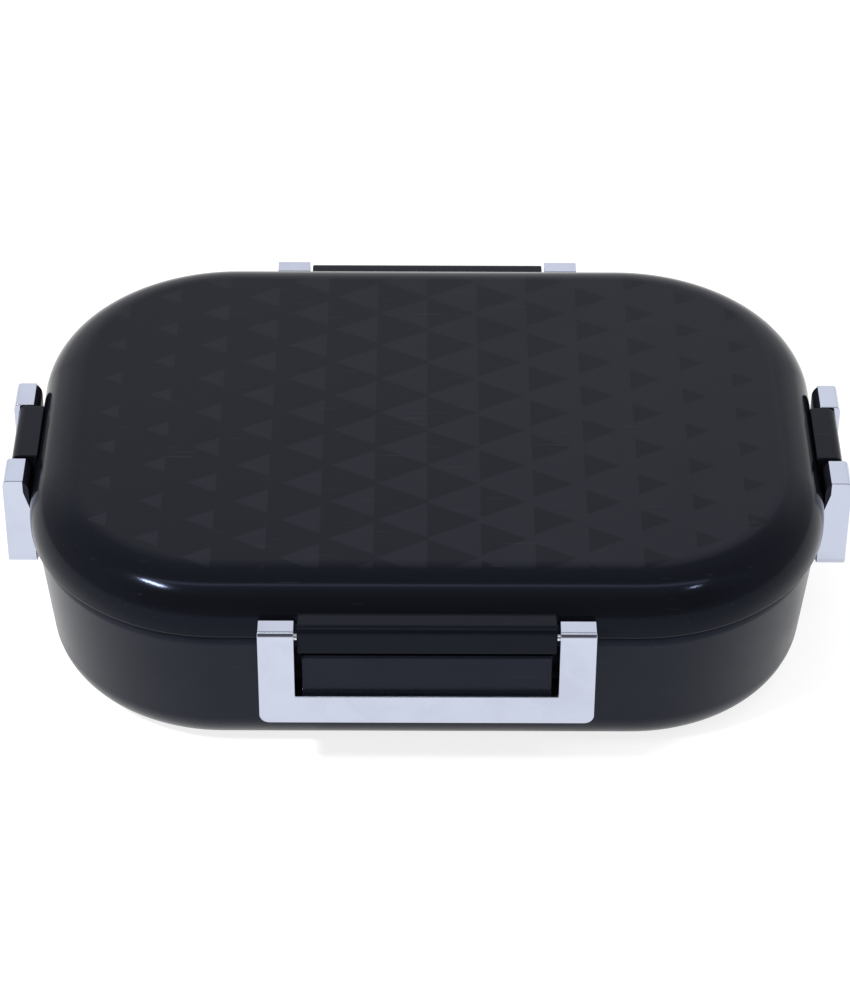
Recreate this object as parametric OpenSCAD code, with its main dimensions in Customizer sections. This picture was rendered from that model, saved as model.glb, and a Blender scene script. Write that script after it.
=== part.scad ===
// Lunch box with a lift-off lid and four snap latches.
// A rounded rectangular case holds a steel tray; the lid is clamped by a latch on each side.
// Each latch swings on a pin in the lid's lug and hooks under a keeper ledge on the case.
// Millimetres, +Z up, length along X, front towards -Y, origin under the centre of the case.

/* [Outline] */
// Length of the lid along X, without latches
lid_length = 230; // [200:1:260]
// Width of the lid along Y, without latches
lid_width = 165.4; // [150:0.2:190]
// Plan radius of the lid's corners
corner_radius = 56.5; // [50:0.5:60]
// Height of the lid's top above the table
total_height = 63; // [60:0.5:75]

/* [Lid] */
// Height of the lid's lower edge
lid_edge = 47; // [46.5:0.1:48]
// Radius of the lid's round shoulder
shoulder_radius = 14.5; // [12:0.5:15]
// Thickness of the lid's wall
lid_wall = 2.2; // [1.8:0.1:2.6]

/* [Case] */
// Height of the ledge that the lid's edge closes over
ledge_height = 45.3; // [45:0.1:46.4]
// Height at which the case's wall turns in towards the ledge
rim_height = 43.6; // [43:0.1:44.4]
// How far the case stands back from the lid's outline below its rim
case_inset = 1.8; // [1.6:0.1:2.2]
// How far it stands back at the table
case_inset_low = 6.2; // [5:0.1:8]
// Radius between the case's wall and its underside
foot_radius = 12.4; // [10:0.1:15]
// Thickness of the case's wall
case_wall = 2.4; // [2:0.1:2.8]

/* [Tray] */
// Thickness of the steel
tray_sheet = 0.6; // [0.5:0.1:0.8]
// Height of the tray's underside
tray_floor = 5; // [4:0.5:8]
// Radius between the tray's wall and its floor
tray_radius = 12; // [8:0.5:14]

/* [Latches] */
// Length of the front and back latches
long_latch = 93.6; // [90:0.2:96]
// Length of the left and right latches
short_latch = 48; // [46:0.2:50]
// Width of a long latch's arms
long_arm = 10.1; // [9:0.1:11]
// Width of a short latch's arms
short_arm = 11; // [10:0.1:11.5]
// How far the long latches stand out from the lid's wall
long_reach = 8.1; // [7.8:0.1:8.6]
// How far the short latches stand out
short_reach = 8.1; // [7.8:0.1:8.6]
// Height of the latches' top
latch_top = 55.7; // [55:0.1:56]
// How much lower the long latches hang as a whole
long_drop = 0.8; // [0:0.1:1]
// Height of the long latches' lower edge
long_low = 23.2; // [22:0.1:25]
// Height of the short latches' lower edge
short_low = 24.8; // [23:0.1:26]
// Height of the upper edge of the bar below the keeper
bar_top = 32.9; // [32:0.1:33.5]
// Thickness of the chromed trim
trim = 0.9; // [0.8:0.1:1.2]
// Radius of the hinge pins
pin_radius = 1; // [0.8:0.05:1.2]
// Running gap around the pins in the latch
pin_gap = 0.06; // [0.03:0.01:0.09]

/* [Display] */
// Sub-part to show
// Smoothness of round faces
smoothness = 96; // [48:8:160]

/* [Hidden] */
$fn = smoothness;

black = [0.045, 0.045, 0.05];
soft_black = [0.06, 0.06, 0.065];
chrome = [0.82, 0.82, 0.85];
steel = [0.72, 0.73, 0.75];
liner_grey = [0.16, 0.16, 0.17];
silicone = [0.75, 0.76, 0.76];

// corner centres: every wall of the box is swept around these four points
cx = lid_length / 2 - corner_radius;
cy = lid_width / 2 - corner_radius;
R = corner_radius;

shoulder_x = R - shoulder_radius;
shoulder_z = total_height - shoulder_radius;
// upstand of the case inside the lid's edge, and the tray hung on it
upstand_height = 50;
upstand_outer = R - 2.8;
upstand_inner = R - 4.8;
tray_mouth = R - 9.2;
tray_foot = R - 13;
flange_inner = R - 16;
flange_edge = R - 3;
hem_width = 1.4;
hem_height = 1.1;
flange_top = upstand_height + tray_sheet;
lid_under = total_height - lid_wall;

// inner panel of the lid
panel_low = 49.8;
panel_sheet = 1.6;
panel_plug = R - 11;
panel_top = 54.2;
panel_edge = R - 4.2;
seal_outer = R - 5.8;
seal_inner = R - 8.4;
seal_low = 50.85;
rib_low = 51.2;

// hinge and hook, measured outward from the lid's wall
pin_height = 52;
pin_back = 3.4;        // pin's axis behind the latch's face
pin_grip = 6.5;        // length of pin inside each arm
boss_radius = 4.1;
bar_depth = 1.5;
arm_depth = 6.1;
arm_heel = -0.4;       // back of the arm beside the case
heel_top = 51.5;
heel_low = 43;
upper_round = 2.2;
lower_round = 1.4;
keeper_back = 1.8;     // keeper's face behind the latch's face
keeper_top = 46.3;
keeper_low = 32.7;
keeper_play = 1.95;
lug_back = 1.6;
lug_low = 47.3;
lug_top = 56;
lug_play = 0.75;
lip_top = 32.4;
lip_depth = 4.6;

// ---- shapes in a plane ----
function unit(v) = v / norm(v);

// the corner q between p and s as [tangent point, centre, tangent point]
function fillet(p, q, s, r) =
  let (a = unit(p - q), b = unit(s - q), half = acos(a * b) / 2)
  r > 0 ? [q + r / tan(half) * a, q + r / sin(half) * unit(a + b), q + r / tan(half) * b] : [q];

// polygon with convex corners rounded, each by its own radius
module rounded(points, radii) {
  n = len(points);
  f = [for (i = [0 : n - 1]) fillet(points[(i + n - 1) % n], points[i], points[(i + 1) % n], radii[i])];
  polygon([for (e = f) each e]);
  for (i = [0 : n - 1]) if (radii[i] > 0) intersection() {
    translate(f[i][1]) circle(radii[i]);
    polygon(points);
  }
}

// ---- sweeps ----
// a section, drawn outward from the corner centres, carried around the box
module around() {
  for (i = [0 : 3]) {
    along = i % 2 == 0 ? cy : cx;
    out = i % 2 == 0 ? cx : cy;
    rotate([0, 0, 90 * i]) {
      translate([out, along, 0]) rotate_extrude(angle = 90) children();
      translate([out, along, 0]) rotate([90, 0, 0]) linear_extrude(2 * along) children();
    }
  }
}

// the same with the middle filled between two heights
module filled(low, high) {
  around() children();
  translate([-cx, -cy, low]) cube([2 * cx, 2 * cy, high - low]);
}

// profile [outward, up] drawn out along X
module along_x(x0, x1) {
  translate([x0, 0, 0]) rotate([90, 0, 90]) linear_extrude(x1 - x0) children();
}

// profile [along, up] drawn out from y0 to y1
module along_y(y0, y1) {
  translate([0, y1, 0]) rotate([90, 0, 0]) linear_extrude(y1 - y0) children();
}

// puts a shape drawn with +Y outward on side 0 front, 1 back, 2 left, 3 right
module on_side(i) {
  at = [[0, -lid_width / 2, 0], [0, lid_width / 2, 0], [-lid_length / 2, 0, 0], [lid_length / 2, 0, 0]];
  turn = [180, 0, 90, -90];
  translate(at[i] - [0, 0, is_long(i) ? long_drop : 0]) rotate([0, 0, turn[i]]) children();
}

function is_long(i) = i < 2;
function half_length(i) = (is_long(i) ? long_latch : short_latch) / 2;
function half_window(i) = half_length(i) - (is_long(i) ? long_arm : short_arm);
function reach(i) = is_long(i) ? long_reach : short_reach;
function low(i) = is_long(i) ? long_low : short_low;
function pin_out(i) = reach(i) - pin_back;

// ---- case ----
module case_section() {
  rounded([[0, 0], [R - case_inset_low, 0], [R - case_inset, rim_height],
           [upstand_outer, ledge_height], [0, ledge_height]],
          [0, foot_radius, 1.5, 0, 0]);
}

module keeper(i) {
  p = reach(i) - keeper_back;
  w = half_window(i) - keeper_play;
  along_x(-w, w)
    rounded([[-4.2, keeper_low], [p, keeper_low], [p, keeper_top], [-3.4, keeper_top]], [0, 0.8, 1.2, 0]);
}

module base_shell() color(black) difference() {
  union() {
    filled(0, ledge_height) case_section();
    filled(ledge_height - 1, upstand_height)
      translate([0, ledge_height - 1]) square([upstand_outer, upstand_height - ledge_height + 1]);
    for (i = [0 : 3]) on_side(i) keeper(i);
  }
  filled(case_wall, upstand_height + 1) {
    rounded([[0, case_wall], [R - case_inset_low - case_wall, case_wall],
             [upstand_inner, upstand_height], [upstand_inner, upstand_height + 1], [0, upstand_height + 1]],
            [0, foot_radius - case_wall, 0, 0, 0]);
  }
}

// the tray's outside (o = 0), or its hollow (o = tray_sheet), which runs out at the mouth
module tray_section(o) {
  mouth_top = o > 0 ? flange_top + 1 : flange_top;
  rounded([[0, tray_floor + o], [tray_foot - o, tray_floor + o], [tray_mouth - o, upstand_height],
           [tray_mouth - o, mouth_top], [0, mouth_top]],
          [0, tray_radius - o, 0, 0, 0]);
}

module steel_tray() color(steel) difference() {
  union() {
    filled(tray_floor, flange_top) tray_section(0);
    around() translate([flange_inner, upstand_height]) square([flange_edge - flange_inner, tray_sheet]);
    around() translate([flange_edge - hem_width, upstand_height]) square([hem_width, hem_height]);
  }
  filled(tray_floor + tray_sheet, flange_top + 1) tray_section(tray_sheet);
}

// ---- lid ----
module lid_section() {
  rounded([[0, lid_edge], [R, lid_edge], [R, total_height], [0, total_height]],
          [0, 0.7, shoulder_radius, 0]);
}

module lid_hollow_section() {
  r = shoulder_radius - lid_wall;
  rounded([[0, lid_edge - 1], [R - lid_wall, lid_edge - 1], [R - lid_wall, lid_under], [0, lid_under]],
          [0, 0, r, 0]);
}

module lug(i) {
  p = reach(i) - lug_back;
  w = half_window(i) - lug_play;
  along_x(-w, w)
    rounded([[-1.2, lug_low], [p, lug_low], [p, lug_top], [-3, lug_top], [-1.2, 52.5]], [0, 0.6, 2.4, 0, 0]);
}

module lid_cover() color(black) difference() {
  union() {
    filled(lid_edge, total_height) lid_section();
    for (i = [0 : 3]) on_side(i) lug(i);
  }
  filled(lid_edge - 1, lid_under) lid_hollow_section();
  for (i = [0 : 3]) on_side(i)
    translate([0, pin_out(i), pin_height]) rotate([0, 90, 0])
      cylinder(h = 2 * half_window(i), r = pin_radius, center = true);
}

// a panel that dips into the tray's mouth, a step above the flange with two ribs
// that hold the seal, and a rib welded up to the cover
module lid_liner() color(liner_grey) {
  step_low = panel_top - panel_sheet;
  inner_rib = seal_inner - 1.2;
  weld_rib = R - 16.5;
  filled(panel_low, panel_low + panel_sheet) {
    translate([0, panel_low]) square([panel_plug, panel_sheet]);
    translate([panel_plug - 1.4, panel_low]) square([1.4, panel_top - panel_low]);
    translate([panel_plug - 1.4, step_low]) square([panel_edge - panel_plug + 1.4, panel_sheet]);
    translate([inner_rib, rib_low]) square([1, panel_top - rib_low]);
    translate([seal_outer + 0.2, rib_low]) square([0.8, panel_top - rib_low]);
    translate([weld_rib, panel_low + 1]) square([panel_sheet, lid_under - panel_low - 1]);
  }
}

module lid_gasket() color(silicone) around()
  rounded([[seal_inner, seal_low], [seal_outer, seal_low],
           [seal_outer, panel_top - panel_sheet], [seal_inner, panel_top - panel_sheet]],
          [0.7, 0.7, 0, 0]);

// ---- latches ----
// outline of the U seen from outside, shrunk by o
module latch_outline(i, o) difference() {
  w = half_length(i) - o;
  rounded([[-w, low(i) + o], [w, low(i) + o], [w, latch_top - o], [-w, latch_top - o]],
          [2.8 - o, 2.8 - o, 1, 1]);
  v = half_window(i) + o;
  rounded([[-v, bar_top - o], [v, bar_top - o], [v, latch_top + 5], [-v, latch_top + 5]],
          [2 + o, 2 + o, 0, 0]);
}

// side of an arm: its back stands off the lid above and reaches in towards the case below
function arm_back(i) = reach(i) - arm_depth;
module arm_side(i, o, back) {
  b = arm_back(i);
  rounded([[b - back, latch_top - o], [b - back, heel_top], [arm_heel - back, heel_low],
           [arm_heel - back, low(i) + o], [reach(i) - o, low(i) + o], [reach(i) - o, latch_top - o]],
          [0, 0, 0, 0, lower_round - o, upper_round - o]);
}

module bar_side(i, o, back) {
  b = reach(i) - bar_depth - back;
  rounded([[b, low(i) + o], [reach(i) - o, low(i) + o], [reach(i) - o, bar_top - o], [b, bar_top - o]],
          [0, lower_round - o, 0, 0]);
}

// the trim's outer body (o = 0) or its hollow (o = trim, running out at the back)
module trim_solid(i, o, back) intersection() {
  along_y(-20, 20) latch_outline(i, o);
  union() {
    for (s = [0, 1]) mirror([s, 0, 0]) along_x(half_window(i), half_length(i)) arm_side(i, o, back);
    along_x(-half_window(i) - 1, half_window(i) + 1) bar_side(i, o, back);
  }
}

// blind holes of a depth in the arms, opening into the window
module pin_bore(i, r, depth) {
  for (s = [0, 1]) mirror([s, 0, 0])
    translate([half_window(i) - 1, pin_out(i), pin_height])
      rotate([0, 90, 0]) cylinder(h = depth + 1, r = r);
}

function pin_half(i) = half_window(i) + pin_grip;

module latch_frame(i) color(chrome) difference() {
  trim_solid(i, 0, 0);
  trim_solid(i, trim, 8);
  pin_bore(i, pin_radius + 0.5, 2 * trim);
}

// black core: fills the trim and shows behind it next to the lid
module latch_body(i) color(soft_black) difference() {
  union() {
    trim_solid(i, trim, 0);
    for (s = [0, 1]) mirror([s, 0, 0])
      along_x(half_window(i) + 0.2, half_length(i) - 0.2) heel(i);
  }
  pin_bore(i, pin_radius + pin_gap, pin_grip + 0.4);
}

// the heel turns about the pin without touching the lid
module heel(i) {
  p = pin_out(i) - boss_radius;
  b = arm_back(i);
  intersection() {
    union() {
      translate([pin_out(i), pin_height]) circle(boss_radius);
      translate([p, 40]) square([boss_radius, pin_height - 40]);
    }
    polygon([[-5, 60], [b, 60], [b, heel_top], [arm_heel, heel_low], [-5, heel_low]]);
  }
}

module latch_lip(i) color(soft_black) {
  w = half_window(i) - 2.6;
  p = reach(i) - bar_depth;
  along_x(-w, w)
    polygon([[p, lip_top - 6], [p, lip_top], [p - lip_depth + 0.4, lip_top],
             [p - lip_depth, lip_top - 0.4], [p - lip_depth, lip_top - 1.6]]);
}

module latch_pin(i) color(steel)
  translate([0, pin_out(i), pin_height]) rotate([0, 90, 0]) cylinder(h = 2 * pin_half(i), r = pin_radius, center = true);

module latch_front_frame() on_side(0) latch_frame(0);
module latch_front_body() on_side(0) latch_body(0);
module latch_front_lip() on_side(0) latch_lip(0);
module latch_front_pin() on_side(0) latch_pin(0);
module latch_back_frame() on_side(1) latch_frame(1);
module latch_back_body() on_side(1) latch_body(1);
module latch_back_lip() on_side(1) latch_lip(1);
module latch_back_pin() on_side(1) latch_pin(1);
module latch_left_frame() on_side(2) latch_frame(2);
module latch_left_body() on_side(2) latch_body(2);
module latch_left_lip() on_side(2) latch_lip(2);
module latch_left_pin() on_side(2) latch_pin(2);
module latch_right_frame() on_side(3) latch_frame(3);
module latch_right_body() on_side(3) latch_body(3);
module latch_right_lip() on_side(3) latch_lip(3);
module latch_right_pin() on_side(3) latch_pin(3);

base_shell();
steel_tray();
lid_cover();
lid_liner();
lid_gasket();
latch_front_frame();
latch_front_body();
latch_front_lip();
latch_front_pin();
latch_back_frame();
latch_back_body();
latch_back_lip();
latch_back_pin();
latch_left_frame();
latch_left_body();
latch_left_lip();
latch_left_pin();
latch_right_frame();
latch_right_body();
latch_right_lip();
latch_right_pin();
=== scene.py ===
"""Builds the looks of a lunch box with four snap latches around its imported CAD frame.

The lid, case, tray, liner, seal and chromed latch frames are modelled here. The cores, hook lips
and pins of the latches keep their CAD shape and get their materials here. Lengths are in metres.
"""

from math import cos, hypot, pi, radians, sin

import bmesh
import bpy
from mathutils import Matrix, Vector


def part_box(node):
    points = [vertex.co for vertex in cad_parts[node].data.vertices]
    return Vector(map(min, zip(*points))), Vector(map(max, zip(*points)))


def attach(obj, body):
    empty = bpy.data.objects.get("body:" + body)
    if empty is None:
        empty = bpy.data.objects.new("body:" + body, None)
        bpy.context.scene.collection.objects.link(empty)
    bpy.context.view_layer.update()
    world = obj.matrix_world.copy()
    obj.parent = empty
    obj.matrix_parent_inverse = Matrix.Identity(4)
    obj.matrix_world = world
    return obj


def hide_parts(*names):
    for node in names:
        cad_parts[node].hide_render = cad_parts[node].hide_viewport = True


bl_info = {
    "name": "Lunch Box",
    "version": (1, 0, 0),
    "blender": (4, 5, 0),
    "location": "3D View > Sidebar > Lunch Box",
    "description": "Models a lunch box with a lift-off lid, a steel tray and four snap latches",
    "category": "Add Mesh",
}

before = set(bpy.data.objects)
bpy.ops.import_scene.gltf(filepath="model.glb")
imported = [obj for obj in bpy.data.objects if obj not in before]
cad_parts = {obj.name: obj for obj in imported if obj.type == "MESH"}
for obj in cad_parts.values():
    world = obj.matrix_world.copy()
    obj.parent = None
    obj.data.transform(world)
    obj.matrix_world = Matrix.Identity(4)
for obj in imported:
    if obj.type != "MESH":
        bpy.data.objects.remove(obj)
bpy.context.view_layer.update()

MM = 0.001
NEAR = 0.02 * MM
SIDES = ("front", "back", "left", "right")
TURNS = {"front": 0, "back": pi, "left": -pi / 2, "right": pi / 2}

# The tray's flange ends this far inside the lid's outline.
FLANGE_INSET = 3 * MM
LID_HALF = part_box("steel_tray")[1] + Vector((FLANGE_INSET, FLANGE_INSET, 0))
LID_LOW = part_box("lid_cover")[0].z
LID_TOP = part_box("lid_cover")[1].z

# The seal lies between these two distances from the lid's outline.
SEAL_OUTER_INSET = 5.8 * MM
SEAL_INNER_INSET = 8.4 * MM

# The hook lip ends this far inside the frame's window and below the top of its bar.
LIP_PLAY = 2.6 * MM
LIP_DROP = 0.5 * MM

# The triangles grow from the first column to the last, given in columns from the middle and as
# shares of a column's width. Above 1 they run into each other.
FIRST_COLUMN = -6.5
LAST_COLUMN = 5.5
FIRST_SIZE = 0.38
LAST_SIZE = 1.58

# How strongly the case and the lid mirror, and a cool tint painted into their reflections.
PLASTIC_GLOSS = 0.205
LID_GLOSS = 0.122
PAINTED_COOL_REFLECTION = (0.54, 0.64, 1.0, 1.0)


def length(name, description, millimetres):
    """A length that the user can change, with its default given in millimetres."""
    return bpy.props.FloatProperty(
        name=name, description=description, default=millimetres * MM, min=0, unit="LENGTH")


def colour(name, description, default):
    """A colour that the user can change."""
    return bpy.props.FloatVectorProperty(
        name=name, description=description, default=default, min=0, max=1, subtype="COLOR")


class LunchBoxSizes(bpy.types.PropertyGroup):
    """Sizes of the modelled pieces."""

    corner_radius: length("Corner radius", "Plan radius of the lid's corners", 56.5)
    shoulder_radius: length("Shoulder radius", "Radius of the lid's round shoulder", 14.5)
    lid_wall: length("Lid wall", "Thickness of the lid's wall", 2.2)
    lid_lip: length("Lid lip", "Radius of the lid's lower edge", 0.7)
    ledge_height: length("Ledge height", "Height of the ledge under the lid's edge", 45.3)
    rim_height: length("Rim height", "Height where the case's wall turns in to the ledge", 43.6)
    case_inset: length("Case inset", "How far the case stands back below its rim", 1.8)
    case_taper: length("Case taper", "How much further it stands back at the table", 4.4)
    case_wall: length("Case wall", "Thickness of the case's wall", 2.4)
    foot_radius: length("Foot radius", "Radius between the case's wall and underside", 12.4)
    sheet: length("Tray sheet", "Thickness of the tray's steel", 0.6)
    tray_radius: length("Tray radius", "Radius between the tray's wall and floor", 11.4)
    trim: length("Trim", "Thickness of the chromed trim", 0.9)
    rim: length("Rim", "Small round along the trim's edges", 0.28)


class LunchBoxFinish(bpy.types.PropertyGroup):
    """Colours and pattern of the finishes."""

    lid_ground: colour("Lid ground", "Black of the lid between the triangles", (0.0042, 0.0045, 0.0064))
    lid_light: colour("Lid triangles", "Lighter black of the triangles", (0.0085, 0.0089, 0.0118))
    case_black: colour("Case black", "Black of the case", (0.0046, 0.0048, 0.0068))
    latch_black: colour("Latch black", "Black of the latch cores", (0.0064, 0.0066, 0.0092))
    chrome: colour("Chrome", "Tint of the chromed trim", (0.495, 0.53, 0.635))
    steel: colour("Steel", "Tint of the brushed steel", (0.62, 0.63, 0.65))
    liner: colour("Liner", "Grey of the lid's inner panel", (0.022, 0.022, 0.024))
    silicone: colour("Silicone", "Milky white of the seal", (0.66, 0.67, 0.66))
    floor: colour("Floor", "Pale floor under the box", (0.3, 0.3, 0.3))
    column: length("Column", "Width of one column of triangles", 15.1)
    pitch: length("Pitch", "Distance between triangles in a column", 16.8)


# ---- selecting and shaping ----


def section(co):
    """How far a point is from the corner centres, which is the same all around the outline."""
    radius = bpy.context.scene.lunch_box_sizes.corner_radius
    across = max(abs(co.x) - (LID_HALF.x - radius), 0)
    along = max(abs(co.y) - (LID_HALF.y - radius), 0)
    return hypot(across, along)


def pick(kind, test, whole=False):
    """Selects, in edit mode, the faces or edges that pass a test on every corner or, where whole
    is set, a test on the face or edge itself."""
    bpy.ops.mesh.select_mode(type=kind)
    bpy.ops.mesh.select_all(action="DESELECT")
    mesh = bmesh.from_edit_mesh(bpy.context.object.data)
    mesh.normal_update()
    found = 0
    for part in mesh.faces if kind == "FACE" else mesh.edges:
        chosen = test(part) if whole else all(test(v.co) for v in part.verts)
        part.select_set(chosen)
        found += chosen
    mesh.select_flush_mode()
    bmesh.update_edit_mesh(bpy.context.object.data)
    if not found:
        raise RuntimeError("nothing was picked on " + bpy.context.object.name)


def near(value, target):
    return abs(value - target) < NEAR


def ring(radius, height):
    """A test for points on the outline at a section radius and a height."""
    return lambda co: near(section(co), radius) and near(co.z, height)


def start(name, adder, **sizes):
    """Adds a primitive with nothing else selected, names it and opens it in edit mode."""
    if bpy.context.object and bpy.context.object.mode == "EDIT":
        bpy.ops.object.mode_set(mode="OBJECT")
    bpy.ops.object.select_all(action="DESELECT")
    adder(**sizes)
    made = bpy.context.object
    made.name = name
    made.data.name = name
    bpy.ops.object.transform_apply(location=True, rotation=True, scale=True)
    bpy.ops.object.mode_set(mode="EDIT")
    return made


def outline(name, radius, height):
    """A flat rounded rectangle at a section radius and a height, open in edit mode."""
    sizes = bpy.context.scene.lunch_box_sizes
    reach = radius - sizes.corner_radius
    made = start(name, bpy.ops.mesh.primitive_plane_add, size=1, location=(0, 0, height))
    span = (2 * (LID_HALF.x + reach), 2 * (LID_HALF.y + reach), 1)
    bpy.ops.transform.resize(value=span, center_override=(0, 0, height))
    bpy.ops.mesh.bevel(offset=radius, segments=28, affect="VERTICES", clamp_overlap=False)
    bpy.ops.mesh.select_mode(type="FACE")
    bpy.ops.mesh.select_all(action="SELECT")
    return made


def step(inward, up):
    """Insets the picked face and raises it, which leaves a sloped, flat or upright band."""
    if inward:
        bpy.ops.mesh.inset(thickness=abs(inward), depth=0, use_outset=inward < 0, use_even_offset=True)
        bpy.ops.transform.translate(value=(0, 0, up))
    else:
        bpy.ops.mesh.extrude_region_move(TRANSFORM_OT_translate={"value": (0, 0, up)})


def round_edge(test, radius, segments):
    pick("EDGE", test)
    bpy.ops.mesh.bevel(offset=radius, segments=segments, affect="EDGES", clamp_overlap=False)


def block(name, low, high):
    """A box between two corners, open in edit mode, ready to be cut and rounded."""
    low = Vector(low)
    high = Vector(high)
    made = start(name, bpy.ops.mesh.primitive_cube_add, size=1, location=(low + high) / 2)
    bpy.ops.transform.resize(value=high - low, center_override=(low + high) / 2)
    return made


def face_out():
    """Merges doubles and turns every face outward."""
    bpy.ops.mesh.select_all(action="SELECT")
    bpy.ops.mesh.remove_doubles(threshold=0.001 * MM)
    bpy.ops.mesh.normals_make_consistent(inside=False)


def close(made):
    """Turns every face outward and leaves edit mode."""
    face_out()
    bpy.ops.object.mode_set(mode="OBJECT")
    return made


def apply_modifier(made, kind, **settings):
    bpy.ops.object.select_all(action="DESELECT")
    made.select_set(True)
    bpy.context.view_layer.objects.active = made
    modifier = made.modifiers.new(kind.title(), kind)
    for key, value in settings.items():
        setattr(modifier, key, value)
    bpy.ops.object.modifier_apply(modifier=modifier.name)


def round_rest(made, radius):
    """Leaves edit mode and rounds every edge that is still sharp."""
    bpy.ops.object.mode_set(mode="OBJECT")
    apply_modifier(
        made, "BEVEL", width=radius, segments=3, limit_method="ANGLE", angle_limit=radians(48))


def place_block(made, side, radius):
    """Finishes a block modelled at the front and turns it to its side."""
    round_rest(made, radius)
    made.data.transform(Matrix.Rotation(TURNS[side], 4, "Z"))
    return made


def smooth(made, angle=35):
    """Shades the rounds smooth and keeps the broad faces flat."""
    bpy.ops.object.select_all(action="DESELECT")
    made.select_set(True)
    bpy.context.view_layer.objects.active = made
    bpy.ops.object.shade_smooth_by_angle(angle=radians(angle))
    apply_modifier(made, "WEIGHTED_NORMAL", keep_sharp=True, weight=100)


def weld(made, others):
    """Joins solids into one by boolean union."""
    for other in others:
        apply_modifier(made, "BOOLEAN", object=other, operation="UNION", solver="EXACT")
        bpy.data.objects.remove(other)


def turned(made, name, angle):
    """A copy with its own mesh, turned about the middle of the box."""
    copy = made.copy()
    copy.data = made.data.copy()
    copy.name = name
    copy.data.name = name
    bpy.context.scene.collection.objects.link(copy)
    copy.data.transform(Matrix.Rotation(angle, 4, "Z"))
    return copy


def finish_piece(made, body, nodes, material):
    """Gives a piece its material, hangs it on the body it rides on and hides the CAD nodes it stands for.
    """
    made.data.materials.clear()
    made.data.materials.append(material)
    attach(made, body)
    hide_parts(*nodes)


# ---- latch places, worked out from the frame ----


def side_half(side):
    """Distance from the middle to the lid's wall on a side."""
    return LID_HALF.y if side in ("front", "back") else LID_HALF.x


def latch_facts(side):
    """Sizes of one side's latch as if it were at the front, read from its CAD nodes."""
    low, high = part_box("latch_" + side + "_frame")
    lip_low, lip_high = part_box("latch_" + side + "_lip")
    turn = Matrix.Rotation(-TURNS[side], 3, "Z")
    far = turn @ (low if side in ("front", "left") else high)
    lip = max(abs(lip_low.x), lip_high.x) if side in ("front", "back") else lip_high.y
    return {
        "face": -abs(far.y),
        "half": abs(far.x),
        "window": lip + LIP_PLAY,
        "top": high.z,
        "low": low.z,
        "bar_top": lip_high.z + LIP_DROP,
        "wall": -side_half(side),
    }


# ---- shader nodes ----


def place(tree, kind, inputs=(), **settings):
    """Adds a shader node. An input given a socket is linked, and any other value is set."""
    made = tree.nodes.new(kind)
    made.location = (180 * len(tree.nodes), 0)
    for key, value in settings.items():
        setattr(made, key, value)
    for key, value in dict(inputs).items():
        if isinstance(value, bpy.types.NodeSocket):
            tree.links.new(value, made.inputs[key])
        else:
            made.inputs[key].default_value = value
    return made


def maths(tree, operation, first, second=0.0):
    return place(tree, "ShaderNodeMath", {0: first, 1: second}, operation=operation).outputs[0]


def blend_colour(tree, factor, first, second):
    """Goes from one colour to another as the factor rises."""
    return place(
        tree, "ShaderNodeMix", {0: factor, 6: first, 7: second}, data_type="RGBA").outputs[2]


def spread(tree, value, low, high, to_low=0.0, to_high=1.0):
    """Maps a value from one range to another along a soft curve."""
    return place(
        tree, "ShaderNodeMapRange",
        {"Value": value, "From Min": low, "From Max": high, "To Min": to_low, "To Max": to_high},
        interpolation_type="SMOOTHSTEP").outputs[0]


def new_group(name, takes, gives):
    """A node group with named inputs and outputs, and its two end nodes."""
    tree = bpy.data.node_groups.new(name, "ShaderNodeTree")
    for label, kind, default in takes:
        socket = tree.interface.new_socket(name=label, in_out="INPUT", socket_type=kind)
        if default is not None:
            socket.default_value = default
    for label, kind in gives:
        tree.interface.new_socket(name=label, in_out="OUTPUT", socket_type=kind)
    return tree, tree.nodes.new("NodeGroupInput"), tree.nodes.new("NodeGroupOutput")


def triangle_group():
    """Rows of triangles that grow across the lid until they close up and the ground between
    them turns into triangles that shrink."""
    if "Triangle pattern" in bpy.data.node_groups:
        return bpy.data.node_groups["Triangle pattern"]
    tree, given, out = new_group(
        "Triangle pattern",
        (("Vector", "NodeSocketVector", None), ("Column", "NodeSocketFloat", 15 * MM),
         ("Pitch", "NodeSocketFloat", 17 * MM), ("Edge", "NodeSocketFloat", 0.05)),
        (("Mask", "NodeSocketFloat"),))
    parts = place(tree, "ShaderNodeSeparateXYZ", {0: given.outputs["Vector"]})
    across = maths(tree, "DIVIDE", parts.outputs[0], given.outputs["Column"])
    column = maths(tree, "FLOOR", across)
    from_line = maths(tree, "SUBTRACT", 1.0, maths(tree, "SUBTRACT", across, column))
    stagger = maths(tree, "MULTIPLY", maths(tree, "FLOORED_MODULO", column, 2.0), 0.5)
    along = maths(tree, "ADD", maths(tree, "DIVIDE", parts.outputs[1], given.outputs["Pitch"]), stagger)
    row = maths(tree, "SUBTRACT", maths(tree, "FRACT", along), 0.5)
    from_middle = maths(tree, "MULTIPLY", maths(tree, "ABSOLUTE", row), 2.0)
    slant = maths(tree, "ADD", from_line, from_middle)
    size = place(
        tree, "ShaderNodeMapRange",
        {"Value": column, "From Min": FIRST_COLUMN, "From Max": LAST_COLUMN,
         "To Min": FIRST_SIZE, "To Max": LAST_SIZE}).outputs[0]
    inner = maths(tree, "SUBTRACT", size, given.outputs["Edge"])
    outer = maths(tree, "ADD", size, given.outputs["Edge"])
    tree.links.new(spread(tree, slant, inner, outer, 1.0, 0.0), out.inputs["Mask"])
    return tree


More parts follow.
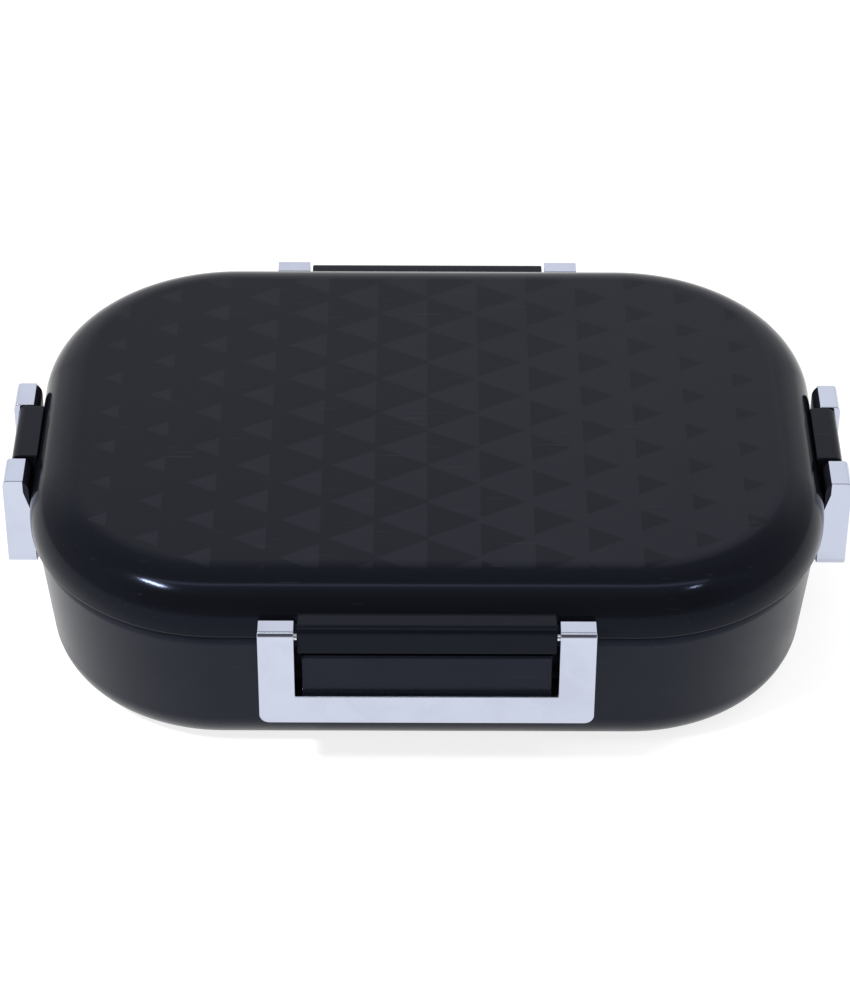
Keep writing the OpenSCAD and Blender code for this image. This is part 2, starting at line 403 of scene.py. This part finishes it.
def grain_group():
    """Fine moulded grain: a height for the bump and a mask for colour and gloss."""
    if "Moulded grain" in bpy.data.node_groups:
        return bpy.data.node_groups["Moulded grain"]
    tree, given, out = new_group(
        "Moulded grain",
        (("Vector", "NodeSocketVector", None), ("Grain size", "NodeSocketFloat", 0.5 * MM)),
        (("Height", "NodeSocketFloat"), ("Mask", "NodeSocketFloat")))
    scale = maths(tree, "DIVIDE", 1.0, given.outputs["Grain size"])
    fine = place(
        tree, "ShaderNodeTexNoise",
        {"Vector": given.outputs["Vector"], "Scale": scale, "Detail": 3.0, "Roughness": 0.55})
    broad = place(
        tree, "ShaderNodeTexNoise",
        {"Vector": given.outputs["Vector"], "Scale": maths(tree, "DIVIDE", scale, 40.0), "Detail": 2.0})
    tree.links.new(fine.outputs["Fac"], out.inputs["Height"])
    tree.links.new(spread(tree, broad.outputs["Fac"], 0.35, 0.65), out.inputs["Mask"])
    return tree


def handling_group():
    """Marks of handling: soft smudges and sparse hair-fine scratches."""
    if "Handling marks" in bpy.data.node_groups:
        return bpy.data.node_groups["Handling marks"]
    tree, given, out = new_group(
        "Handling marks",
        (("Vector", "NodeSocketVector", None), ("Smudge size", "NodeSocketFloat", 30 * MM)),
        (("Smudges", "NodeSocketFloat"), ("Scratches", "NodeSocketFloat")))
    scale = maths(tree, "DIVIDE", 1.0, given.outputs["Smudge size"])
    smudge = place(
        tree, "ShaderNodeTexNoise",
        {"Vector": given.outputs["Vector"], "Scale": scale, "Detail": 4.0, "Roughness": 0.6,
         "Distortion": 0.4})
    stretched = place(
        tree, "ShaderNodeMapping",
        {"Vector": given.outputs["Vector"], "Rotation": (0.3, 0.5, 0.6), "Scale": (60.0, 1400.0, 900.0)})
    hair = place(tree, "ShaderNodeTexNoise", {"Vector": stretched.outputs[0], "Scale": 1.0, "Detail": 1.0})
    tree.links.new(spread(tree, smudge.outputs["Fac"], 0.42, 0.68), out.inputs["Smudges"])
    tree.links.new(spread(tree, hair.outputs["Fac"], 0.7, 0.78), out.inputs["Scratches"])
    return tree


def use_group(tree, group, inputs):
    return place(tree, "ShaderNodeGroup", inputs, node_tree=group)


def new_material(name, shader_values):
    """A material with its shader, its object coordinates and nothing else yet."""
    made = bpy.data.materials.new(name)
    made.use_nodes = True
    tree = made.node_tree
    tree.nodes.clear()
    where = place(tree, "ShaderNodeTexCoord").outputs["Object"]
    shader = place(tree, "ShaderNodeBsdfPrincipled", shader_values)
    out = place(tree, "ShaderNodeOutputMaterial", {"Surface": shader.outputs[0]})
    out.location = (2600, 0)
    shader.location = (2300, 0)
    return made, tree, where, shader


def rgba(three):
    return (*three, 1.0)


def plastic(name, tint, roughness, grain_size, grain_depth):
    """Moulded black plastic with a faint grain, smudges and hair scratches."""
    # The specular tint paints a cool colour into the plastic's reflections.
    made, tree, where, shader = new_material(
        name, {"Specular IOR Level": PLASTIC_GLOSS, "Specular Tint": PAINTED_COOL_REFLECTION})
    grain = use_group(tree, grain_group(), {"Vector": where, "Grain size": grain_size})
    marks = use_group(tree, handling_group(), {"Vector": where, "Smudge size": 34 * MM})
    worn = tuple(channel * 1.5 for channel in tint)
    shade = blend_colour(tree, maths(tree, "MULTIPLY", grain.outputs["Mask"], 0.5), rgba(tint), rgba(worn))
    marked = tuple(channel * 4 for channel in tint)
    scratched = maths(tree, "MULTIPLY", marks.outputs["Scratches"], 0.35)
    tree.links.new(blend_colour(tree, scratched, shade, rgba(marked)), shader.inputs["Base Color"])
    gloss = maths(tree, "MULTIPLY_ADD", marks.outputs["Smudges"], 0.07)
    gloss.node.inputs[2].default_value = roughness
    tree.links.new(gloss, shader.inputs["Roughness"])
    bump = place(
        tree, "ShaderNodeBump",
        {"Height": grain.outputs["Height"], "Strength": 0.5, "Distance": grain_depth})
    tree.links.new(bump.outputs[0], shader.inputs["Normal"])
    return made


def lid_plastic():
    """Black plastic with a satin top that carries the triangles and a glossy shoulder."""
    finish = bpy.context.scene.lunch_box_finish
    # The specular tint paints a cool colour into the lid's reflections.
    made, tree, where, shader = new_material(
        "lid plastic", {"Specular IOR Level": LID_GLOSS, "Specular Tint": PAINTED_COOL_REFLECTION})
    grain = use_group(tree, grain_group(), {"Vector": where, "Grain size": 0.45 * MM})
    marks = use_group(tree, handling_group(), {"Vector": where, "Smudge size": 40 * MM})
    triangles = use_group(
        tree, triangle_group(), {"Vector": where, "Column": finish.column, "Pitch": finish.pitch})
    height = place(tree, "ShaderNodeSeparateXYZ", {0: where}).outputs[2]
    on_top = spread(tree, height, LID_TOP - 0.5 * MM, LID_TOP - 0.02 * MM)
    mask = maths(tree, "MULTIPLY", triangles.outputs["Mask"], on_top)
    shade = blend_colour(tree, mask, rgba(finish.lid_ground), rgba(finish.lid_light))
    scuffed = maths(tree, "MULTIPLY", marks.outputs["Scratches"], 0.3)
    pale = tuple(channel * 3 for channel in finish.lid_light)
    tree.links.new(blend_colour(tree, scuffed, shade, rgba(pale)), shader.inputs["Base Color"])
    satin = maths(tree, "ADD", maths(tree, "MULTIPLY", mask, 0.06), 0.34)
    wiped = maths(tree, "ADD", satin, maths(tree, "MULTIPLY", marks.outputs["Smudges"], 0.05))
    rough = place(
        tree, "ShaderNodeMix", {0: on_top, 2: 0.12, 3: wiped}, data_type="FLOAT").outputs[0]
    tree.links.new(rough, shader.inputs["Roughness"])
    depth = maths(tree, "MULTIPLY", grain.outputs["Height"], on_top)
    bump = place(tree, "ShaderNodeBump", {"Height": depth, "Strength": 0.4, "Distance": 0.02 * MM})
    tree.links.new(bump.outputs[0], shader.inputs["Normal"])
    return made


def metal(name, tint, roughness, brush_scale, brush_depth):
    """Bare metal with handling marks, brushed along one direction where the scale asks for it."""
    made, tree, where, shader = new_material(name, {"Metallic": 1.0})
    marks = use_group(tree, handling_group(), {"Vector": where, "Smudge size": 22 * MM})
    dull = tuple(channel * 0.93 for channel in tint)
    tree.links.new(
        blend_colour(tree, marks.outputs["Smudges"], rgba(tint), rgba(dull)), shader.inputs["Base Color"])
    lines_at = place(tree, "ShaderNodeMapping", {"Vector": where, "Scale": brush_scale})
    lines = place(tree, "ShaderNodeTexNoise", {"Vector": lines_at.outputs[0], "Scale": 1.0, "Detail": 3.0})
    streaks = maths(tree, "MULTIPLY", spread(tree, lines.outputs["Fac"], 0.3, 0.7), roughness * 0.5)
    smudged = maths(tree, "MULTIPLY", marks.outputs["Smudges"], 0.06)
    total = maths(tree, "ADD", maths(tree, "ADD", streaks, smudged), roughness)
    tree.links.new(total, shader.inputs["Roughness"])
    bump = place(
        tree, "ShaderNodeBump",
        {"Height": lines.outputs["Fac"], "Strength": 0.4, "Distance": brush_depth})
    tree.links.new(bump.outputs[0], shader.inputs["Normal"])
    return made


def chrome():
    finish = bpy.context.scene.lunch_box_finish
    return metal("chrome", finish.chrome, 0.07, (90.0, 90.0, 90.0), 0.004 * MM)


def brushed_steel():
    finish = bpy.context.scene.lunch_box_finish
    return metal("brushed steel", finish.steel, 0.24, (70.0, 2600.0, 2600.0), 0.01 * MM)


def silicone():
    """Milky rubber with a soft sheen and a little colour drift."""
    finish = bpy.context.scene.lunch_box_finish
    made, tree, where, shader = new_material("silicone", {"Specular IOR Level": 0.35})
    grain = use_group(tree, grain_group(), {"Vector": where, "Grain size": 0.7 * MM})
    warm = tuple(channel * 0.88 for channel in finish.silicone)
    tree.links.new(
        blend_colour(tree, grain.outputs["Mask"], rgba(finish.silicone), rgba(warm)),
        shader.inputs["Base Color"])
    tree.links.new(spread(tree, grain.outputs["Mask"], 0.0, 1.0, 0.42, 0.55), shader.inputs["Roughness"])
    bump = place(
        tree, "ShaderNodeBump",
        {"Height": grain.outputs["Height"], "Strength": 0.4, "Distance": 0.02 * MM})
    tree.links.new(bump.outputs[0], shader.inputs["Normal"])
    return made


# ---- pieces ----


class LUNCHBOX_OT_lid(bpy.types.Operator):
    """Model the lid's cover with its round shoulder and the lug on each side"""

    bl_idname = "lunch_box.lid"
    bl_label = "Lid Cover"

    inner_lip = 0.3 * MM
    lug_play = 0.75 * MM
    lug_back = 1.6 * MM
    lug_rise = 0.3 * MM
    lug_height = 8.7 * MM
    lug_root = 1.2 * MM
    lug_round = 2.4 * MM
    edge_round = 0.4 * MM

    def execute(self, context):
        sizes = context.scene.lunch_box_sizes
        radius = sizes.corner_radius
        lid = outline("lid_shell", radius, LID_LOW)
        step(0, LID_TOP - LID_LOW)
        round_edge(ring(radius, LID_TOP), sizes.shoulder_radius, 20)
        face_out()
        ceiling = LID_TOP - sizes.lid_wall
        pick("FACE", lambda co: near(co.z, LID_LOW))
        step(sizes.lid_wall, 0)
        step(0, ceiling - LID_LOW)
        round_edge(ring(radius - sizes.lid_wall, ceiling), sizes.shoulder_radius - sizes.lid_wall, 14)
        round_edge(ring(radius, LID_LOW), sizes.lid_lip, 5)
        round_edge(ring(radius - sizes.lid_wall, LID_LOW), self.inner_lip, 3)
        close(lid)
        weld(lid, [self.lug(side) for side in SIDES])
        smooth(lid)
        finish_piece(lid, "lid", ["lid_cover"], lid_plastic())
        return {"FINISHED"}

    def lug(self, side):
        """The block between a latch's arms that holds the ends of its pin."""
        facts = latch_facts(side)
        half = facts["window"] - self.lug_play
        face = facts["face"] + self.lug_back
        top = facts["top"] + self.lug_rise
        low = top - self.lug_height
        buried = facts["wall"] + self.lug_root
        lug = block("lug", (-half, face, low), (half, buried, top))
        round_edge(lambda co: near(co.y, face) and near(co.z, top), self.lug_round, 8)
        return place_block(lug, side, self.edge_round)


class LUNCHBOX_OT_case(bpy.types.Operator):
    """Model the case with its foot, ledge, upstand and the keeper on each side"""

    bl_idname = "lunch_box.case"
    bl_label = "Case"

    upstand_step = 1 * MM
    upstand_width = 2 * MM
    upstand_top = 50 * MM
    rim_round = 1.5 * MM
    edge_round = 0.4 * MM
    keeper_play = 1.95 * MM
    keeper_back = 1.8 * MM
    keeper_drop = 0.2 * MM
    keeper_height = 13.4 * MM
    keeper_root = 4.2 * MM
    keeper_round = 1.2 * MM

    def execute(self, context):
        sizes = context.scene.lunch_box_sizes
        ledge = sizes.corner_radius - sizes.case_inset
        height = sizes.ledge_height
        foot = ledge - sizes.case_taper
        upstand = ledge - self.upstand_step
        mouth = upstand - self.upstand_width
        floor = foot - sizes.case_wall
        rim = sizes.rim_height
        case = outline("case_shell", ledge, rim)
        step(sizes.case_taper, -rim)
        round_edge(ring(foot, 0), sizes.foot_radius, 14)
        pick("EDGE", ring(ledge, rim))
        bpy.ops.mesh.edge_face_add()
        face_out()
        pick("FACE", ring(ledge, rim))
        step(self.upstand_step, height - rim)
        step(0, self.upstand_top - height)
        step(self.upstand_width, 0)
        step(mouth - floor, sizes.case_wall - self.upstand_top)
        round_edge(ring(floor, sizes.case_wall), sizes.foot_radius - sizes.case_wall, 8)
        round_edge(ring(ledge, rim), self.rim_round, 6)
        round_edge(ring(upstand, self.upstand_top), self.edge_round, 3)
        round_edge(ring(mouth, self.upstand_top), self.edge_round, 3)
        close(case)
        weld(case, [self.keeper(side) for side in SIDES])
        smooth(case)
        finish = context.scene.lunch_box_finish
        black = plastic("case plastic", finish.case_black, 0.26, 0.5 * MM, 0.012 * MM)
        finish_piece(case, "case", ["base_shell"], black)
        return {"FINISHED"}

    def keeper(self, side):
        """The block that the latch's lip hooks under."""
        facts = latch_facts(side)
        half = facts["window"] - self.keeper_play
        face = facts["face"] + self.keeper_back
        low = facts["bar_top"] - self.keeper_drop
        top = facts["bar_top"] + self.keeper_height
        buried = facts["wall"] + self.keeper_root
        keeper = block("keeper", (-half, face, low), (half, buried, top))
        round_edge(lambda co: near(co.y, face) and near(co.z, top), self.keeper_round, 6)
        return place_block(keeper, side, self.edge_round)


class LUNCHBOX_OT_tray(bpy.types.Operator):
    """Model the pressed steel tray with its flange and rolled hem"""

    bl_idname = "lunch_box.tray"
    bl_label = "Steel Tray"

    flange_under = 50 * MM
    hem_width = 1.4 * MM
    mouth_inset = 9.2 * MM
    taper = 3.8 * MM
    mouth_round = 1.5 * MM
    hem_lean = 0.2 * MM
    hem_round = 0.35 * MM

    def execute(self, context):
        sizes = context.scene.lunch_box_sizes
        flange = sizes.corner_radius - FLANGE_INSET
        mouth = sizes.corner_radius - self.mouth_inset - sizes.sheet
        top = self.flange_under + sizes.sheet
        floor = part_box("steel_tray")[0].z + sizes.sheet
        hem_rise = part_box("steel_tray")[1].z - top
        hem = flange - self.hem_lean
        tray = outline("tray_shell", hem, top + hem_rise)
        step(self.hem_width - 2 * self.hem_lean, 0)
        step(self.hem_lean, -hem_rise)
        step(flange - self.hem_width - mouth, 0)
        step(self.taper, floor - top)
        pick("EDGE", ring(hem, top + hem_rise))
        bpy.ops.mesh.extrude_region_move(TRANSFORM_OT_translate={"value": (0, 0, -hem_rise)})
        round_edge(ring(hem, top + hem_rise), self.hem_round, 4)
        round_edge(ring(mouth - self.taper, floor), sizes.tray_radius, 14)
        round_edge(ring(mouth, top), self.mouth_round, 6)
        bpy.ops.object.mode_set(mode="OBJECT")
        apply_modifier(tray, "SOLIDIFY", thickness=sizes.sheet, offset=-1, use_even_offset=True)
        smooth(tray, 40)
        finish_piece(tray, "case", ["steel_tray"], brushed_steel())
        return {"FINISHED"}


class LUNCHBOX_OT_liner(bpy.types.Operator):
    """Model the lid's inner panel with the groove that holds the seal"""

    bl_idname = "lunch_box.liner"
    bl_label = "Lid Liner"

    sheet = 1.6 * MM
    top = 54.2 * MM
    panel = 49.8 * MM
    rib_low = 51.2 * MM
    edge_inset = 4.2 * MM
    outer_rib = 1 * MM
    outer_rib_width = 0.8 * MM
    inner_rib_gap = 0.4 * MM
    inner_rib_width = 1 * MM
    inner_rib = 1.2 * MM
    plug_inset = 11 * MM
    plug_round = 0.7 * MM
    dish_inset = 6 * MM
    dish_slope = 0.6 * MM
    dish_depth = 0.5 * MM

    def execute(self, context):
        sizes = context.scene.lunch_box_sizes
        radius = sizes.corner_radius
        edge = radius - self.edge_inset
        under = self.top - self.sheet
        seal_outer = radius - SEAL_OUTER_INSET
        seal_inner = radius - SEAL_INNER_INSET
        plug = radius - self.plug_inset
        rib = under - self.rib_low
        liner = outline("liner_panel", edge, self.top)
        step(0, -self.sheet)
        bands = (
            (edge - seal_outer - self.outer_rib, 0),
            (0, -rib),
            (self.outer_rib_width, 0),
            (0, rib),
            (seal_outer - seal_inner + self.inner_rib_gap, 0),
            (0, -rib),
            (self.inner_rib_width, 0),
            (0, rib),
            (seal_inner - self.inner_rib - plug, 0),
            (0, self.panel - under),
        )
        for inward, up in bands:
            step(inward, up)
        round_edge(ring(plug, self.panel), self.plug_round, 5)
        pick("FACE", lambda co: near(co.z, self.panel))
        step(self.dish_inset, 0)
        step(self.dish_slope, self.dish_depth)
        close(liner)
        smooth(liner)
        finish = context.scene.lunch_box_finish
        grey = plastic("liner plastic", finish.liner, 0.38, 0.4 * MM, 0.02 * MM)
        finish_piece(liner, "lid", ["lid_liner"], grey)
        return {"FINISHED"}


class LUNCHBOX_OT_seal(bpy.types.Operator):
    """Model the silicone seal with its two soft lips"""

    bl_idname = "lunch_box.seal"
    bl_label = "Silicone Seal"

    groove = 0.5 * MM
    lip_round = 0.45 * MM

    def execute(self, context):
        radius = context.scene.lunch_box_sizes.corner_radius
        outer = radius - SEAL_OUTER_INSET
        inner = radius - SEAL_INNER_INSET
        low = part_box("lid_gasket")[0].z
        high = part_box("lid_gasket")[1].z
        groove = self.groove
        lip = (outer - inner - groove) / 2
        seal = outline("seal_ring", outer, high)
        step(0, low - high)
        step(lip - groove / 2, 0)
        step(groove / 2, groove)
        step(groove / 2, 0)
        step(groove / 2, -groove)
        step(lip - groove / 2, 0)
        step(0, high - low)
        pick("FACE", lambda co: near(co.z, high))
        bpy.ops.mesh.delete(type="FACE")
        pick("EDGE", lambda co: near(co.z, high))
        bpy.ops.mesh.bridge_edge_loops()
        round_edge(lambda co: near(co.z, low) and (near(section(co), outer) or near(section(co), inner)),
                   self.lip_round, 4)
        close(seal)
        smooth(seal, 50)
        finish_piece(seal, "lid", ["lid_gasket"], silicone())
        return {"FINISHED"}


class LUNCHBOX_OT_latch_frames(bpy.types.Operator):
    """Model the chromed frames, one for each size, and copy each to the opposite side"""

    bl_idname = "lunch_box.latch_frames"
    bl_label = "Latch Frames"

    bar_depth = 1.5 * MM
    arm_depth = 6.1 * MM
    heel_gap = 0.4 * MM
    heel_low = 43 * MM
    heel_top = 51.5 * MM
    top_round = 2.2 * MM
    corner_round = 2.8 * MM

    def execute(self, context):
        material = chrome()
        for first, second in (("front", "back"), ("left", "right")):
            model = self.frame(first)
            for side in (first, second):
                name = "latch_" + side
                copy = turned(model, name + "_trim", TURNS[side])
                finish_piece(copy, name, [name + "_frame"], material)
            bpy.data.objects.remove(model)
        return {"FINISHED"}

    def frame(self, side):
        """A U as if at the front: a bar with an arm rising from each end."""
        sizes = bpy.context.scene.lunch_box_sizes
        facts = latch_facts(side)
        face = facts["face"]
        half = facts["half"]
        window = facts["window"]
        low = facts["low"]
        top = facts["top"]
        bar_top = facts["bar_top"]
        made = start("latch_model", bpy.ops.mesh.primitive_plane_add, size=1, rotation=(pi / 2, 0, 0))
        bpy.ops.transform.resize(value=(2 * window, 1, bar_top - low))
        bpy.ops.transform.translate(value=(0, face, (bar_top + low) / 2))
        for way in (-1, 1):
            pick("EDGE", lambda co: near(co.x, way * window))
            self.draw_out(way * (half - window), 0, 0)
            pick("EDGE", lambda co: near(co.z, bar_top) and way * co.x > window - NEAR)
            self.draw_out(0, 0, top - bar_top)
        bpy.ops.mesh.select_all(action="SELECT")
        self.draw_out(0, self.bar_depth, 0)
        face_out()
        for height in (self.heel_low, self.heel_top):
            bpy.ops.mesh.select_all(action="SELECT")
            bpy.ops.mesh.bisect(plane_co=(0, 0, height), plane_no=(0, 0, 1))
        self.deepen(face, window, facts["wall"] + self.heel_gap)
        round_edge(lambda co: near(co.y, face) and near(co.z, top), self.top_round, 8)
        round_edge(lambda co: near(abs(co.x), half) and near(co.z, low), self.corner_round, 8)
        self.hollow(face + sizes.trim, sizes.trim)
        round_rest(made, sizes.rim)
        smooth(made, 40)
        return made

    def draw_out(self, x, y, z):
        bpy.ops.mesh.extrude_region_move(TRANSFORM_OT_translate={"value": (x, y, z)})

    def deepen(self, face, window, heel):
        """Draws the backs of the arms in towards the lid and, below it, towards the case."""
        bar_back = face + self.bar_depth
        arm_back = face + self.arm_depth
        pick("FACE", lambda co: near(co.y, bar_back) and abs(co.x) > window - NEAR)
        self.draw_out(0, arm_back - bar_back, 0)
        pick("FACE", lambda co: near(co.y, arm_back) and co.z < self.heel_low + NEAR)
        bpy.ops.transform.translate(value=(0, heel - arm_back, 0))

    def hollow(self, depth, wall):
        """Sinks the back of the frame, which leaves the trim's wall around the black core."""
        pick("FACE", lambda face: face.normal.y > 0.5, whole=True)
        bpy.ops.mesh.inset(thickness=wall, depth=0, use_even_offset=True)
        bpy.ops.mesh.extrude_region_move()
        bpy.ops.transform.resize(value=(1, 0, 1), center_override=(0, depth, 0))
        face_out()


class LUNCHBOX_OT_latch_cores(bpy.types.Operator):
    """Give the latches' cores, hook lips and pins their materials"""

    bl_idname = "lunch_box.latch_cores"
    bl_label = "Latch Cores and Pins"

    def execute(self, context):
        finish = context.scene.lunch_box_finish
        black = plastic("latch plastic", finish.latch_black, 0.3, 0.4 * MM, 0.015 * MM)
        drawn = metal("drawn steel", finish.steel, 0.18, (60.0, 900.0, 900.0), 0.004 * MM)
        for side in SIDES:
            for part, material in (("body", black), ("lip", black), ("pin", drawn)):
                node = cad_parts["latch_" + side + "_" + part]
                node.data.materials.clear()
                node.data.materials.append(material)
        return {"FINISHED"}


# ---- stage ----


class LUNCHBOX_OT_stage(bpy.types.Operator):
    """Set the floor, the soft studio light and the camera"""

    bl_idname = "lunch_box.stage"
    bl_label = "Stage"

    target = Vector((0, 0, 30 * MM))
    camera_distance = 1.043
    elevation = 38.35
    azimuth = 0.15
    roll = 0.273
    lens = 126.1
    shift = (-0.00188, 0.00335)
    floor_size = 9
    floor_glow = 2.75
    room_strength = 1.25
    # name, place, width, depth, power, whether mirrors show it
    lamps = (
        ("wide soft light", (0, 0.1, 1.6), 2.6, 2.2, 11.0, False),
        ("front strip", (0, -0.42, 1.15), 1.5, 0.1, 1.6, True),
        ("left lamp", (-0.58, -0.46, 0.87), 0.2, 0.045, 10.0, True),
        ("right lamp", (0.53, -0.49, 0.85), 0.06, 0.03, 0.6, True),
    )
    # brightness of the room by degrees from straight up, front edge positive
    room_stops = (
        (-100, 0.78), (-64, 0.88), (-52, 0.93), (-32, 0.5), (8, 0.32), (22, 0.62), (34, 0.32),
        (46, 0.1), (70, 0.09), (86, 0.32), (90, 0.76))
    side_colour = (0.5, 0.5, 0.52, 1)
    backdrop = (0.96, 0.96, 0.96, 1)

    def execute(self, context):
        self.floor()
        self.world(context.scene)
        for lamp in self.lamps:
            self.light(*lamp)
        self.camera(context.scene)
        context.scene.view_settings.view_transform = "Standard"
        return {"FINISHED"}

    def floor(self):
        finish = bpy.context.scene.lunch_box_finish
        floor = start("floor", bpy.ops.mesh.primitive_plane_add, size=1)
        bpy.ops.transform.resize(value=(self.floor_size, self.floor_size, 1))
        bpy.ops.mesh.subdivide(number_cuts=2)
        bpy.ops.object.mode_set(mode="OBJECT")
        made, tree, where, shader = new_material(
            "pale floor",
            {"Roughness": 0.9, "Specular IOR Level": 0.0, "Emission Strength": self.floor_glow})
        clouds = place(tree, "ShaderNodeTexNoise", {"Vector": where, "Scale": 3.0, "Detail": 1.0})
        tint = rgba(finish.floor)
        shaded = rgba(tuple(channel * 0.985 for channel in finish.floor))
        shade = blend_colour(tree, clouds.outputs["Fac"], tint, shaded)
        tree.links.new(shade, shader.inputs["Base Color"])
        tree.links.new(shade, shader.inputs["Emission Color"])
        floor.data.materials.append(made)

    def world(self, scene):
        """A studio room: pale behind and to the sides, dark above the front edge of the floor."""
        world = bpy.data.worlds.new("studio room")
        world.use_nodes = True
        scene.world = world
        tree = world.node_tree
        tree.nodes.clear()
        way = place(tree, "ShaderNodeTexCoord").outputs["Generated"]
        parts = place(tree, "ShaderNodeSeparateXYZ", {0: way})
        forward = maths(tree, "MULTIPLY", parts.outputs[1], -1.0)
        tilt = maths(tree, "ARCTAN2", forward, parts.outputs[2])
        turn = place(
            tree, "ShaderNodeMapRange", {"Value": tilt, "From Min": -pi, "From Max": pi}).outputs[0]
        ramp = place(tree, "ShaderNodeValToRGB", {0: turn})
        ramp.color_ramp.interpolation = "EASE"
        while len(ramp.color_ramp.elements) < len(self.room_stops):
            ramp.color_ramp.elements.new(0.5)
        for element, (degrees, level) in zip(ramp.color_ramp.elements, self.room_stops):
            element.position = 0.5 + degrees / 360
        for element, (degrees, level) in zip(ramp.color_ramp.elements, self.room_stops):
            element.color = (level, level, level * 1.02, 1)
        aside = spread(tree, maths(tree, "ABSOLUTE", parts.outputs[0]), 0.5, 0.95)
        room = blend_colour(tree, aside, ramp.outputs[0], self.side_colour)
        seen = place(tree, "ShaderNodeLightPath").outputs["Is Camera Ray"]
        shown = blend_colour(tree, seen, room, self.backdrop)
        glow = place(tree, "ShaderNodeBackground", {"Color": shown, "Strength": self.room_strength})
        place(tree, "ShaderNodeOutputWorld", {"Surface": glow.outputs[0]})

    def light(self, name, place_at, wide, deep, power, in_reflections):
        """A rectangular lamp turned towards the box."""
        data = bpy.data.lights.new(name, "AREA")
        data.shape = "RECTANGLE"
        data.size = wide
        data.size_y = deep
        data.energy = power
        lamp = bpy.data.objects.new(name, data)
        bpy.context.scene.collection.objects.link(lamp)
        lamp.location = place_at
        lamp.rotation_euler = (self.target - lamp.location).to_track_quat("-Z", "Y").to_euler()
        lamp.visible_glossy = in_reflections
        lamp.visible_camera = False

    def camera(self, scene):
        data = bpy.data.cameras.new("camera")
        data.lens = self.lens
        data.shift_x, data.shift_y = self.shift
        camera = bpy.data.objects.new("camera", data)
        scene.collection.objects.link(camera)
        rise = radians(self.elevation)
        turn = radians(self.azimuth)
        back = Vector((-sin(turn) * cos(rise), -cos(turn) * cos(rise), sin(rise)))
        camera.location = self.target + back * self.camera_distance
        aim = (-back).to_track_quat("-Z", "Y").to_matrix().to_4x4()
        rolled = aim @ Matrix.Rotation(radians(self.roll), 4, "Z")
        camera.rotation_euler = rolled.to_euler()
        scene.camera = camera


class LUNCHBOX_PT_panel(bpy.types.Panel):
    """Lists the sizes, finishes and pieces"""

    bl_idname = "LUNCHBOX_PT_panel"
    bl_label = "Lunch Box"
    bl_space_type = "VIEW_3D"
    bl_region_type = "UI"
    bl_category = "Lunch Box"

    def draw(self, context):
        for group in (context.scene.lunch_box_sizes, context.scene.lunch_box_finish):
            box = self.layout.box()
            for name in group.__annotations__:
                box.prop(group, name)
        for operator in OPERATORS:
            self.layout.operator(operator.bl_idname)


OPERATORS = (
    LUNCHBOX_OT_lid, LUNCHBOX_OT_case, LUNCHBOX_OT_tray, LUNCHBOX_OT_liner, LUNCHBOX_OT_seal,
    LUNCHBOX_OT_latch_frames, LUNCHBOX_OT_latch_cores, LUNCHBOX_OT_stage)
CLASSES = (LunchBoxSizes, LunchBoxFinish, *OPERATORS, LUNCHBOX_PT_panel)


def register():
    for item in CLASSES:
        bpy.utils.register_class(item)
    bpy.types.Scene.lunch_box_sizes = bpy.props.PointerProperty(type=LunchBoxSizes)
    bpy.types.Scene.lunch_box_finish = bpy.props.PointerProperty(type=LunchBoxFinish)


def unregister():
    del bpy.types.Scene.lunch_box_finish
    del bpy.types.Scene.lunch_box_sizes
    for item in reversed(CLASSES):
        bpy.utils.unregister_class(item)


def main():
    register()
    bpy.ops.lunch_box.lid()
    bpy.ops.lunch_box.case()
    bpy.ops.lunch_box.tray()
    bpy.ops.lunch_box.liner()
    bpy.ops.lunch_box.seal()
    bpy.ops.lunch_box.latch_frames()
    bpy.ops.lunch_box.latch_cores()
    bpy.ops.lunch_box.stage()


if __name__ == "__main__":
    main()
